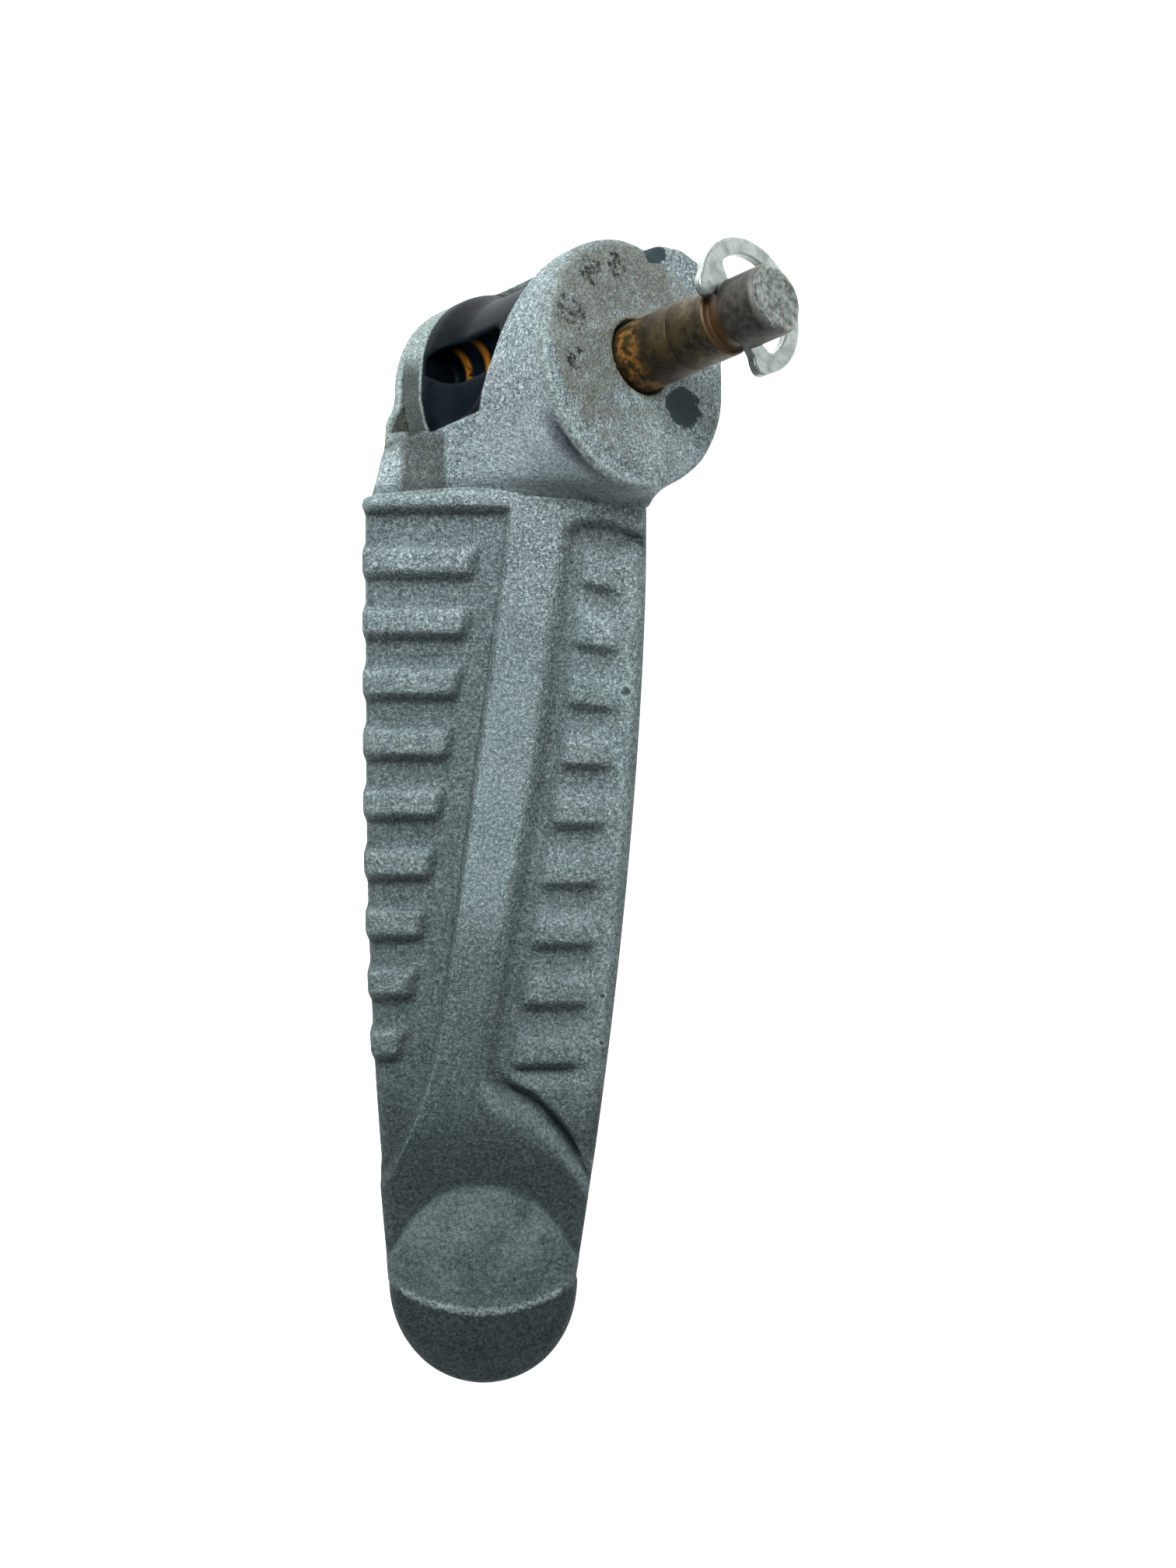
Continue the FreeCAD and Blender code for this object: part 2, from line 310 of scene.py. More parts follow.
def hingeField(x, y, z):
    h = hinge
    s = x * along[0] + y * along[1] + z * along[2]
    w = x * near[0] + y * near[1] + z * near[2]
    v = x * back[0] + y * back[1] + z * back[2]
    r = np.hypot(w, v)
    turn = np.degrees(np.arctan2(v, -w))
    barrel = smoothMax(r - h["radius"], np.abs(s + h["length"] / 2) - h["length"] / 2, 1.6)
    # the boss flares out of the barrel on the near side
    flare = 0.27 * np.clip(-s, 0, 7) * softStep(np.abs(turn), 95, 140)
    boss = smoothMax(r - bossRadius(turn) + flare, np.abs(s + h["lugDepth"] / 2) - h["lugDepth"] / 2, 0.6)
    # neck: each point across it runs straight from the barrel's near or far line to the collar
    sTop = np.clip((y + 8.5) / along[1], -h["length"], -0.5)
    topX, topZ = at(0, 13.4)[0] + along[0] * sTop, at(0, 13.4)[2] + along[2] * sTop
    sLow = np.clip((y - 7.9) / along[1], -h["length"], -0.5)
    lowX, lowZ = at(0, -12.45)[0] + along[0] * sLow, at(0, -12.45)[2] + along[2] * sLow
    topAt = np.clip((x - topX) / (15.6 - topX), 0, 1)
    lowAt = np.clip((x - lowX) / (15.6 - lowX), 0, 1)
    crown = 0.8 * ((y + 15) / 16) ** 2
    top = topZ + (-1.0 - crown - topZ) * topAt ** 1.08
    top = top + 2.9 * np.sin(np.pi * topAt) * softStep(y, -16, -6) * (1 - softStep(y, -1.5, 1.5))
    low = lowZ + (-16.4 - lowZ) * lowAt
    trough = softStep(y, -27.6 + 0.25 * (15 - x), -25.6 + 0.25 * (15 - x)) * (1 - softStep(y, -21.75, -21.3))
    top = top - 1.3 * trough * softStep(x, 7.0, 8.2)
    leftWall = -27.3 - (x - 2) * 0.205 - y
    neck = smoothMax(smoothMax(z - top, low - z, 1.5), leftWall, 1.8)
    neck = smoothMax(neck, smoothMax(s + 1.0, y - 1.0, 1.0), 1.2)
    neck = smoothMax(neck, smoothMax(v - 3.0, x - 16.2, 0.5), 0.5)
    solid = smoothMin(smoothMin(barrel, boss, 0.8), neck, h["neckBlend"])
    ear = smoothMax(r - h["earRadius"], s + h["length"], 0.4)
    solid = smoothMax(solid, -ear, 0.5)
    # window: slanted edge on the boss side, shallow round floor, a hollow let into it
    rightEdge = -5.9 - 0.62 * (10.3 - v)
    window = smoothMax(s - rightEdge, 0.5 - v, 4.2)
    window = smoothMax(window, -w - 3.0, 2.0)
    cavity = np.hypot(w - h["troughW"], v - h["troughV"]) - h["troughRadius"]
    cavity = smoothMax(smoothMax(cavity, s + 10.0, 1.2), -20.3 - s, 0.5)
    floorRadius = h["floorRadius"] + (14.3 - h["floorRadius"]) * softStep(-s, 15.5, 20.8)
    window = smoothMax(window, smoothMin(floorRadius - r, cavity, 0.8), 0.6)
    solid = smoothMax(solid, -window, 0.35)
    detent = np.hypot(w - h["detentW"], v - h["detentV"]) - h["detentRadius"]
    solid = smoothMax(solid, -smoothMax(detent, s + 11.0, 0.3), 0.2)
    slit = smoothMax(np.abs(s + 23.9) - 0.22, np.abs(v - 4.2) - 3.2, 0.1)
    solid = smoothMax(solid, -smoothMax(slit, 12.2 - r, 0.2), 0.1)
    bore = r - h["bore"] - h["lead"] * softStep(s, -0.9, 0.1)
    return smoothMax(solid, -bore, 0.15)


def makeCasting():
    t, h = tread, hinge
    top = netSkin("tread_casting", treadField, (13.4, -32.2, -18.2), (117.8, 2.2, 1.6), t["cell"])
    end = netSkin("hinge_casting", hingeField, (-15.0, -32.6, -29.2), (17.8, 12.0, 12.0), h["cell"])
    x, y, z = readPoints(top).T
    middle, half = (leftSide(x) + rightSide(x)) / 2, (rightSide(x) - leftSide(x)) / 2
    crown = -t["crown"] * ((y - middle) / half) ** 2
    # painted shadow in the pocket left of the flare, and painted shade that deepens below the tread's crown
    pocketShadow = softStep(x, 78, 83) * (1 - softStep(x, 88, 91)) * (y < spineLeft(x) - 0.5)
    depthShade = np.clip((crown - z) / 1.5, 0, 1) * (x < tipRidge(y)) + pocketShadow
    setAttribute(top, "depthShade", np.clip(depthShade, 0, 1.6) * softStep(z, -6, -3))
    setAttribute(top, "spineTop", (y > spineLeft(x)) * (y < spineRight(x) + 0.3) * softStep(z, -2.5, -1.5))
    # worn edge with a painted highlight: the spine's left edge and the tip's ridge
    edge = np.exp(-((y - spineLeft(x) - 0.2) / 0.34) ** 2) * softStep(x, 24, 60) * (z > crown - 1.5)
    ridge = np.exp(-((x - tipRidge(y)) / 0.75) ** 2) * (1 - softStep(np.abs(y + 17.6), 8.5, 10.5))
    ridge = ridge * softStep(z, -3.6, -2.6)
    setAttribute(top, "edgeWearAndHighlight", np.clip(edge * 0.75 + ridge, 0, 1))
    # painted light on the tip pad as it climbs to the ridge, fading just before the ridge
    litPad = softStep(x - tipCrease(y), 0.0, 0.9) * (1 - softStep(x - tipRidge(y), -0.5, 0.4))
    beyond = x - scoopLine(y)
    # painted light on the band along the flare's right-hand edge, kept out of the tip's painted shade
    litBevel = softStep(beyond, 0.4, 1.4) * (1 - softStep(beyond, 2.4, 4.2))
    litBevel = litBevel * softStep(y, -18.5, -16.5) * (x < 95)
    upper = softStep(z - crown, -4.2, -2.8)
    setAttribute(top, "litBevel", litBevel * upper)
    setAttribute(top, "litPad", litPad * upper * (1 - 0.75 * softStep(x - tipRidge(y), -4.5, -0.8)))
    setAttribute(top, "tipShade", softStep(x, 80, 91) * (1 - litPad * upper) * (1 - litBevel * upper))
    x, y, z = readPoints(end).T
    # faces turned towards the tip, the neck's slope most of all, are given painted light
    slope = gradient(hingeField, readPoints(end))[:, 0]
    setAttribute(end, "slope", softStep(slope, 0.1, 0.7) * softStep(z, -10, -6))
    # painted shade where the neck runs in under the collar's step
    collarEdge = t["collarX"] + t["collarArch"] * ((y + 16) / 16) ** 2
    setAttribute(end, "neckEndShade", softStep(x - collarEdge, -1.7, -0.3))
    return top, end


def turned(name, profile, segments=96):
    # profile rows are (s, radius) from one closed end to the other, carried round the pin's axis
    s, radius = np.array(profile).T
    angle = np.linspace(0, 2 * np.pi, segments, endpoint=False)
    ring = np.cos(angle)[:, None] * near + np.sin(angle)[:, None] * back
    points = (s[:, None, None] * along + radius[:, None, None] * ring).reshape(-1, 3)
    rows, turns = np.meshgrid(np.arange(len(s) - 1), np.arange(segments), indexing="ij")
    after = (turns + 1) % segments
    quads = np.stack([rows * segments + turns, rows * segments + after,
                      (rows + 1) * segments + after, (rows + 1) * segments + turns], -1).reshape(-1, 4)
    last = (len(s) - 1) * segments
    faces = quads.tolist() + [list(range(segments))[::-1], list(range(last, last + segments))]
    return makeMesh(name, points, faces, 40)


pin = {
    "radius": 4.0, "journal": 3.97, "end": 21.1, "grooveFrom": 13.7, "grooveTo": 15.7, "groove": 3.15,
    "wear": 8.0, "head": 6.0, "headFrom": -28.3, "headTo": -26.3,
}


def rounded(s0, r0, s1, r1, steps=4):
    # quarter turn from (s0, r0) towards (s1, r1), leaving along the radius
    t = np.linspace(0, np.pi / 2, steps + 1)
    return list(zip(s0 + (s1 - s0) * (1 - np.cos(t)), r0 + (r1 - r0) * np.sin(t)))


def makePin():
    p = pin
    body = [(p["headFrom"], 0.4), (p["headFrom"], p["head"] - 0.6)]
    body += rounded(p["headFrom"], p["head"] - 0.6, p["headFrom"] + 0.6, p["head"])
    body += [(p["headTo"] - 0.2, p["head"]), (p["headTo"], p["head"] - 0.2),
             (p["headTo"], p["journal"] + 0.1), (p["headTo"] + 0.15, p["journal"])]
    body += [(s, p["journal"]) for s in np.linspace(-24, -0.6, 9)]
    body += [(-0.3, p["radius"]), (3.0, p["radius"]), (p["wear"] - 0.25, p["radius"] - 0.02),
             (p["wear"], p["radius"] - 0.14), (p["wear"] + 0.3, p["radius"] - 0.02), (11.0, p["radius"]),
             (p["grooveFrom"] - 0.25, p["radius"]), (p["grooveFrom"] - 0.05, p["radius"] - 0.18),
             (p["grooveFrom"], p["groove"] + 0.15), (p["grooveFrom"] + 0.15, p["groove"]),
             (p["grooveTo"] - 0.15, p["groove"]), (p["grooveTo"], p["groove"] + 0.15),
             (p["grooveTo"] + 0.05, p["radius"] - 0.2), (p["grooveTo"] + 0.3, p["radius"])]
    body += [(s, p["radius"]) for s in (17.5, 19.5)]
    body += [(p["end"] - 0.62, p["radius"] - 0.02), (p["end"] - 0.35, p["radius"] - 0.14),
             (p["end"] - 0.1, p["radius"] - 0.4), (p["end"], p["radius"] - 0.62),
             (p["end"] - 0.06, p["radius"] - 1.0), (p["end"] - 0.05, 1.5), (p["end"] - 0.08, 0.3)]
    return turned("pivot_pin_worn", body)


clip = {
    "outer": 7.8, "inner": 5.8, "offset": 3.1, "bore": 3.2, "thick": 1.0, "at": 14.7,
    "turn": 13.0, "mouth": 53.0, "skew": 10.0, "prongs": ((180, 1.5), (97, 1.1), (-97, 1.1)),
}


def clipField(x, y):
    # flat shape of the clip, mouth towards +x, pin at the origin: ring, three prongs, round ends
    c = clip
    fromRing = np.hypot(x + c["offset"], y)
    middle, half = (c["outer"] + c["inner"]) / 2, (c["outer"] - c["inner"]) / 2
    turn = np.degrees(np.abs(np.arctan2(y, x + c["offset"])))
    ring = np.abs(fromRing - middle) - half
    ring = np.where(turn < c["mouth"] + c["skew"] * np.sign(y), 9.0, ring)
    for side in (-1, 1):
        mouthTurn = math.radians(c["mouth"] + c["skew"] * side)
        endX, endY = middle * math.cos(mouthTurn) - c["offset"], side * middle * math.sin(mouthTurn)
        ring = smoothMin(ring, np.hypot(x - endX, y - endY) - half - 0.25, 0.3)
    shape = ring
    for angle, width in c["prongs"]:
        dx, dy = math.cos(math.radians(angle)), math.sin(math.radians(angle))
        reach = x * dx + y * dy
        ends = np.maximum(-reach, fromRing - c["inner"] - 0.8)
        prong = np.maximum(np.abs(x * dy - y * dx) - width - 0.12 * (reach - c["bore"]), ends)
        shape = smoothMin(shape, prong, 0.7)
    return smoothMax(shape, c["bore"] - np.hypot(x, y), 0.15)


def makeClip():
    c = clip
    turn = math.radians(c["turn"])
    mouthWay = near * math.cos(turn) - back * math.sin(turn)
    acrossWay = np.cross(along, mouthWay)

    def field(x, y, z):
        s = x * along[0] + y * along[1] + z * along[2]
        u = x * mouthWay[0] + y * mouthWay[1] + z * mouthWay[2]
        w = x * acrossWay[0] + y * acrossWay[1] + z * acrossWay[2]
        return smoothMax(clipField(u, w), np.abs(s - c["at"]) - c["thick"] / 2, 0.16)

    centre = at(c["at"]) - mouthWay * c["offset"]
    return netSkin("e_clip_bright", field, centre - 8.6, centre + 8.6, 0.16)


def tube(name, path, radius, segments=14):
    # circle carried along a path, ends closed
    tangent = np.gradient(path, axis=0)
    tangent /= np.linalg.norm(tangent, axis=1)[:, None]
    side = np.cross(tangent, along)
    side /= np.linalg.norm(side, axis=1)[:, None]
    up = np.cross(side, tangent)
    angle = np.linspace(0, 2 * np.pi, segments, endpoint=False)
    around = np.cos(angle)[:, None] * side[:, None] + np.sin(angle)[:, None] * up[:, None]
    points = path[:, None] + radius * around
    rows, turns = np.meshgrid(np.arange(len(path) - 1), np.arange(segments), indexing="ij")
    after = (turns + 1) % segments
    quads = np.stack([rows * segments + turns, (rows + 1) * segments + turns,
                      (rows + 1) * segments + after, rows * segments + after], -1).reshape(-1, 4)
    last = (len(path) - 1) * segments
    faces = quads.tolist() + [list(range(segments)), list(range(last, last + segments))[::-1]]
    return makeMesh(name, points.reshape(-1, 3), faces, 60)


spring = {"from": -21.25, "to": -11.5, "radius": 2.2, "wire": 0.35, "turns": 5.5, "w": 1.6, "v": 8.8}


def makeSpring():
    # helix beside the pin, with its end turns closed up
    p = spring
    t = np.linspace(0, 1, 260)
    share = 0.12 * softStep(t, 0, 0.18) + 0.76 * t + 0.12 * softStep(t, 0.82, 1)
    s = p["from"] + (p["to"] - p["from"]) * share
    angle = 2 * np.pi * p["turns"] * t
    path = (s[:, None] * along + (p["w"] + p["radius"] * np.cos(angle))[:, None] * near
            + (p["v"] + p["radius"] * np.sin(angle))[:, None] * back)
    return tube("detent_spring_coil", path, p["wire"])


ball = {"radius": 2.65, "at": -24.35, "w": 1.6, "v": 8.8}


def makeBall():
    # latitude and longitude grid about the detent bore's axis
    b = ball
    angle = np.linspace(0.06, np.pi - 0.06, 29)
    s, r = b["at"] - b["radius"] * np.cos(angle), b["radius"] * np.sin(angle)
    piece = turned("detent_ball_worn", np.stack([s, r], 1), 48)
    shift = (b["w"] * near + b["v"] * back) * mm
    piece.data.transform(Matrix.Translation(shift))
    return piece


class Link:
    # one value on its way between nodes; + - * / on it add Math nodes
    def __init__(self, tree, socket=None):
        self.tree, self.socket = tree, socket

    def node(self, kind, settings, values, output=0):
        made = self.tree.nodes.new(kind)
        for key, value in settings.items():
            setattr(made, key, value)
        for key, value in values.items():
            if isinstance(value, Link):
                self.tree.links.new(value.socket, made.inputs[key])
            else:
                made.inputs[key].default_value = value
        return Link(self.tree, made.outputs[output])

    def maths(self, operation, *others):
        return self.node("ShaderNodeMath", {"operation": operation}, dict(enumerate((self, *others))))

    def __add__(self, other):
        return self.maths("ADD", other)

    def __radd__(self, other):
        return self.maths("ADD", other)

    def __sub__(self, other):
        return self.maths("SUBTRACT", other)

    def __rsub__(self, other):
        return self.node("ShaderNodeMath", {"operation": "SUBTRACT"}, {0: other, 1: self})

    def __mul__(self, other):
        return self.maths("MULTIPLY", other)

    def __rmul__(self, other):
        return self.maths("MULTIPLY", other)

    def __truediv__(self, other):
        return self.maths("DIVIDE", other)

    def between(self, low, high):
        # 0 below low, 1 above high, smooth between
        return self.node("ShaderNodeMapRange", {"interpolation_type": "SMOOTHSTEP"},
                         {"Value": self, "From Min": low, "From Max": high})

    def noise(self, size, detail=3.0, roughness=0.55):
        # cloudy noise with features about this many mm across; the link is a position in metres
        return self.node("ShaderNodeTexNoise", {},
                         {"Vector": self, "Scale": 1 / (size * mm), "Detail": detail, "Roughness": roughness})

    def dot(self, direction):
        # distance in mm along a direction
        return self.node("ShaderNodeVectorMath", {"operation": "DOT_PRODUCT"},
                         {0: self, 1: tuple(float(c) / mm for c in direction)}, "Value")

    def blend(self, colour, other):
        # self is the share of the second colour
        return self.node("ShaderNodeMix", {"data_type": "RGBA"}, {0: self, 6: colour, 7: other}, 2)

    def times(self, colour):
        # self times another colour, channel by channel
        return self.node("ShaderNodeMix", {"data_type": "RGBA", "blend_type": "MULTIPLY"},
                         {0: 1.0, 6: self, 7: colour}, 2)

    def attribute(self, name):
        return self.node("ShaderNodeAttribute", {"attribute_name": name}, {}, "Fac")

    def bump(self, height, distance, strength=1.0):
        return self.node("ShaderNodeBump", {},
                         {"Height": height, "Distance": distance * mm, "Strength": strength})


def rgb(r, g, b):
    # sRGB 0-255 to linear colour
    return tuple((c / 255) ** 2.2 for c in (r, g, b)) + (1.0,)


def material(name, paint):
    made = bpy.data.materials.new(name)
    made.use_nodes = True
    tree = made.node_tree
    shader = tree.nodes["Principled BSDF"]
    start = Link(tree)
    place = start.node("ShaderNodeTexCoord", {}, {}, "Object")
    for key, value in paint(start, place).items():
        if isinstance(value, Link):
            tree.links.new(value.socket, shader.inputs[key])
        else:
            shader.inputs[key].default_value = value
    return made


def hingePlace(place):
    s, w, v = place.dot(along), place.dot(near), place.dot(back)
    return s, w, v, (w * w + v * v).maths("SQRT")


def castAluminium(start, place):
    hollow, ridge = start.attribute("hollow"), start.attribute("ridge")
    depthShade, edgeWearAndHighlight = start.attribute("depthShade"), start.attribute("edgeWearAndHighlight")
    litPad, tipShade = start.attribute("litPad"), start.attribute("tipShade")
    s, w, v, r = hingePlace(place)
    lengthways, across = place.dot((1, 0, 0)), place.dot((0, 1, 0))
    cloudy, patchy = place.noise(5.0), place.noise(16.0, 2.0)
    grain, fine = place.noise(0.34, 2.0, 0.8), place.noise(0.17, 2.0, 0.8)
    sandy = place.noise(1.1, 4.0, 0.7)
    base = cloudy.between(0.3, 0.7).blend(rgb(98, 110, 112), rgb(118, 129, 131))
    base = (patchy.between(0.4, 0.7) * 0.35).blend(base, rgb(102, 106, 110))
    # salt and pepper of the blasted skin
    base = (grain.between(0.5, 0.66) * 0.34).blend(base, rgb(196, 210, 208))
    base = ((1 - grain.between(0.33, 0.5)) * 0.5).blend(base, rgb(36, 41, 42))
    base = (fine.between(0.55, 0.7) * 0.3).blend(base, rgb(200, 214, 212))
    base = ((1 - fine.between(0.32, 0.46)) * 0.42).blend(base, rgb(28, 32, 33))
    # painted shade: darker towards the tip, where the light falls off, and in the valleys and corners, where
    # it is hidden; paler where it is rubbed
    base = (lengthways.between(15, 38) * 0.33).blend(base, rgb(76, 88, 88))
    base = (lengthways.between(40, 112) * 0.62).blend(base, rgb(50, 59, 60))
    base = (tipShade * 0.42).blend(base, rgb(30, 35, 38))
    spineTop = start.attribute("spineTop")
    rubbed = spineTop * lengthways.between(28, 44) * (1 - lengthways.between(60, 68))
    base = (rubbed * 0.12).blend(base, rgb(150, 166, 168))
    base = (spineTop * lengthways.between(60, 70) * 0.35).blend(base, rgb(40, 50, 52))
    # painted shade in the tread's valleys and in the pocket by the flare
    base = (depthShade.between(0.15, 1.1) * 0.42).blend(base, rgb(42, 50, 53))
    # painted shade in creases and corners
    base = (hollow.between(0.06, 0.5) * 0.7).blend(base, rgb(32, 38, 41))
    # painted light on faces turned towards the tip, such as the neck's slope
    base = (start.attribute("slope") * 0.6).blend(base, rgb(170, 184, 188))
    # painted shade where the neck runs in under the collar's step
    base = (start.attribute("neckEndShade") * 0.5).blend(base, rgb(44, 50, 52))
    # painted light on the tip pad, less of it just before the ridge
    base = (litPad * cloudy.between(0.25, 0.7) * 0.38).blend(base, rgb(112, 122, 120))
    # painted light on the band along the flare's right-hand edge
    base = (start.attribute("litBevel") * 0.3).blend(base, rgb(112, 124, 124))
    base = ((ridge * (0.6 + sandy * 0.8)).between(0.14, 0.5) * 0.3).blend(base, rgb(150, 164, 162))
    # worn edges with a painted highlight along the spine's left edge and the tip's ridge
    base = ((edgeWearAndHighlight * (0.1 + grain * 1.5)).between(0.42, 1.0) * 0.5).blend(base, rgb(146, 160, 157))
    # the grain again, as a share of the colour below it, so that dark parts keep it
    smooth = (1 - s.between(-21.2, -20.6)) * (1 - r.between(14.2, 14.8))
    speckle = place.noise(0.45, 4.0, 0.85).between(0.38, 0.62)
    speckle = speckle.blend((0.64, 0.64, 0.65, 1.0), (1.38, 1.38, 1.4, 1.0))
    speckle = (smooth * 0.8).blend(speckle, (1.0, 1.0, 0.96, 1.0))
    base = base.times(speckle)
    pits = 1 - sandy.between(0.25, 0.32)
    for x, y, size in ((37.2, -1.2, 0.7), (71.6, -3.9, 0.4), (76.9, -4.0, 0.35)):
        gap = ((lengthways - x) * (lengthways - x) + (across - y) * (across - y)).maths("SQRT")
        gap = gap + sandy * 0.6 - 0.3
        pits = pits.maths("MAXIMUM", (1 - gap.between(size * 0.4, size * 0.9)) * 0.8)
        lip = gap.between(size * 0.5, size) * (1 - gap.between(size, size * 1.5))
        base = (lip * 0.15).blend(base, rgb(186, 200, 200))
    base = (pits * 0.8).blend(base, rgb(18, 20, 22))
    # brown dirt over the boss face, thickest on its near and back side
    face = s.between(-0.5, -0.15) * (1 - r.between(13.0, 14.2))
    side = (w * 0.6 + v).between(-9, 7)
    dirt = face * (place.noise(1.8, 5.0, 0.72) + side * 0.2).between(0.46, 0.76)
    base = (dirt * 0.62).blend(base, rgb(86, 83, 72))
    clusters = side * 0.2
    for nearAt, backAt, size in ((8.4, 6.6, 2.6), (2.6, 10.6, 2.0), (-1.8, 10.6, 1.7), (10.5, 2.0, 1.6)):
        gap = (w - nearAt) * (w - nearAt) + (v - backAt) * (v - backAt)
        clusters = clusters.maths("MAXIMUM", 1 - gap.between(size, size * size * 1.6))
    soot = face * (clusters * 0.2 - place.noise(1.2, 5.0, 0.85) + 0.33).between(0, 0.08)
    base = (soot * 0.85).blend(base, rgb(22, 22, 21))
    stain = (1 - r.between(4.1, 5.2)) * s.between(-3.0, -0.2)
    base = (stain * 0.75).blend(base, rgb(80, 66, 32))
    rimDirt = s.between(-1.6, -0.3) * (1 - s.between(-0.3, 0)) * r.between(12.5, 13.4)
    base = (rimDirt * sandy.between(0.4, 0.6) * 0.6).blend(base, rgb(70, 66, 58))
    # painted shade in the valley between boss and neck, ragged with the grain
    dx, dy = lengthways - 10.2, across + 5.4
    alongValley, acrossValley = dx * 0.61 + dy * 0.79, dx * 0.79 - dy * 0.61
    valley = (alongValley / 7.5) * (alongValley / 7.5) + (acrossValley / 3.0) * (acrossValley / 3.0)
    valley = (1 - valley.between(0.1, 1.0)) * (1 - s.between(-1.4, -0.6))
    base = (valley * (0.65 + sandy * 0.5)).blend(base, rgb(34, 34, 44))
    # dirt left in the neck's trough and beside the slit
    troughDirt = across.between(-27.4, -26.0) * (1 - across.between(-21.9, -21.5))
    troughDirt = troughDirt * lengthways.between(7.0, 9.0) * (1 - lengthways.between(14.2, 15.2))
    base = (troughDirt * (0.45 + cloudy * 0.5)).blend(base, rgb(52, 52, 48))
    slitDirt = s.between(-24.2, -23.7) * v.between(0.7, 1.0) * (1 - (v + s * 0.4).between(-1.6, 1.2))
    base = (slitDirt * smooth * 0.85).blend(base, rgb(50, 54, 51))
    wedge = (1 - s.between(-24.2, -23.9)) * (v + s * 0.28).between(-5.3, -5.0)
    wedge = wedge * (1 - (v - s * 0.9).between(25.6, 26.6))
    base = (wedge * smooth * 0.9).blend(base, rgb(38, 39, 33))
    # what is left of the black paint: window and its surround, patches on boss face and rim
    rightEdge = v * 0.62 - 12.3
    around = s.between(-20.9, -20.4) * (1 - (s - rightEdge).between(-0.2, 0.2)) * v.between(0.2, 0.5)
    around = around * (1 - s.between(-0.3, 0)) * (1 - lengthways.between(12, 13)) * w.between(-4, -2)
    ragged = place.noise(1.3, 4.0, 0.7) * 1.7
    patchW, patchV = (w + 4.3) / 3.4, (v + 6.6) / 2.7
    patch = 1 - (patchW * patchW + patchV * patchV + ragged).between(1.5, 1.62)
    rimW, rimV = (w + 9.2) / 2.4, (v - 10.8) / 1.3
    rim = 1 - (rimW * rimW + rimV * rimV + ragged).between(1.4, 1.6)
    spots = (patch * s.between(-0.8, -0.3)).maths("MAXIMUM", rim * s.between(-4, -2))
    paint = around.maths("MAXIMUM", spots)
    worn = 1 - place.noise(0.5, 4.0, 0.8).between(0.62, 0.7) * 0.5
    paint = paint * around.maths("MAXIMUM", worn)
    shade = cloudy.between(0.35, 0.65).blend(rgb(5, 11, 15), rgb(13, 22, 27))
    shade = spots.blend(shade, rgb(40, 52, 55))
    base = paint.blend(base, shade)
    # two rust rings left in the window's hollow
    inTrough = around * v.between(3.7, 5.0) * (1 - v.between(7.6, 8.9)) * (1 - r.between(11.6, 12.3))
    firstRing = 1 - (s + 18.1).maths("ABSOLUTE").between(0.1, 0.75)
    secondRing = 1 - (s + 14.9).maths("ABSOLUTE").between(0.1, 0.75)
    rust = firstRing.maths("MAXIMUM", secondRing * 0.8) * inTrough * place.noise(1.2, 2.0).between(0.2, 0.5)
    base = (rust * 0.85).blend(base, rgb(136, 86, 26))
    rough = 0.7 - paint * (1 - rust) * 0.22 + grain * 0.1
    height = grain * 0.7 + sandy * 1.5 + fine * 0.25 - pits * 0.8
    return {"Base Color": base, "Roughness": rough, "Metallic": 0.25 * (1 - paint),
            "Specular IOR Level": 0.04, "Normal": start.bump(height * (1 - paint * 0.85), 0.24)}


def rustySteel(start, place):
    s = place.dot(along)
    cloud, fine, streak = place.noise(2.2, 4.0, 0.65), place.noise(0.35, 3.0, 0.7), place.noise(0.9, 3.0, 0.6)
    base = cloud.between(0.35, 0.62).blend(rgb(24, 19, 7), rgb(52, 43, 20))
    base = (fine.between(0.5, 0.75) * 0.35).blend(base, rgb(72, 62, 36))
    band = s.between(0.2, 1.2) * (1 - s.between(2.4, 4.6)) * streak.between(0.42, 0.62)
    base = (band * 0.8).blend(base, rgb(116, 78, 26))
    metal = s.between(8.2, 9.4) * (1 - s.between(13.2, 13.7)) * streak.between(0.42, 0.66)
    base = (metal * 0.5).blend(base, rgb(92, 84, 64))
    groove = s.between(13.2, 13.8) * (1 - s.between(15.8, 16.4))
    base = (groove * (0.3 + cloud * 0.8)).blend(base, rgb(66, 47, 24))
    land = s.between(15.7, 16.3)
    base = (land * 0.8).blend(base, streak.between(0.35, 0.65).blend(rgb(26, 26, 26), rgb(58, 57, 54)))
    base = (s.between(20.3, 20.5) * 0.2).blend(base, rgb(120, 120, 116))
    flat = s.between(20.9, 21.02)
    scuffed = place.noise(0.8, 6.0, 0.75).between(0.4, 0.62).blend(rgb(66, 72, 71), rgb(126, 133, 128))
    scuffed = ((1 - cloud.between(0.36, 0.44)) * 0.7).blend(scuffed, rgb(52, 52, 52))
    scuffed = (streak.between(0.58, 0.7) * 0.4).blend(scuffed, rgb(108, 84, 54))
    base = flat.blend(base, scuffed)
    wear = s.between(7.7, 7.95) * (1 - s.between(8.1, 8.4))
    base = (wear * 0.6).blend(base, rgb(30, 25, 19))
    metallic = 0.5 + metal * 0.3 + flat * 0.2 - band * 0.3
    rough = 0.5 - metal * 0.12 - flat * 0.1 + fine * 0.1
    return {"Base Color": base, "Roughness": rough, "Metallic": metallic,
            "Normal": start.bump(fine * 0.5 + cloud * 0.5, 0.08)}


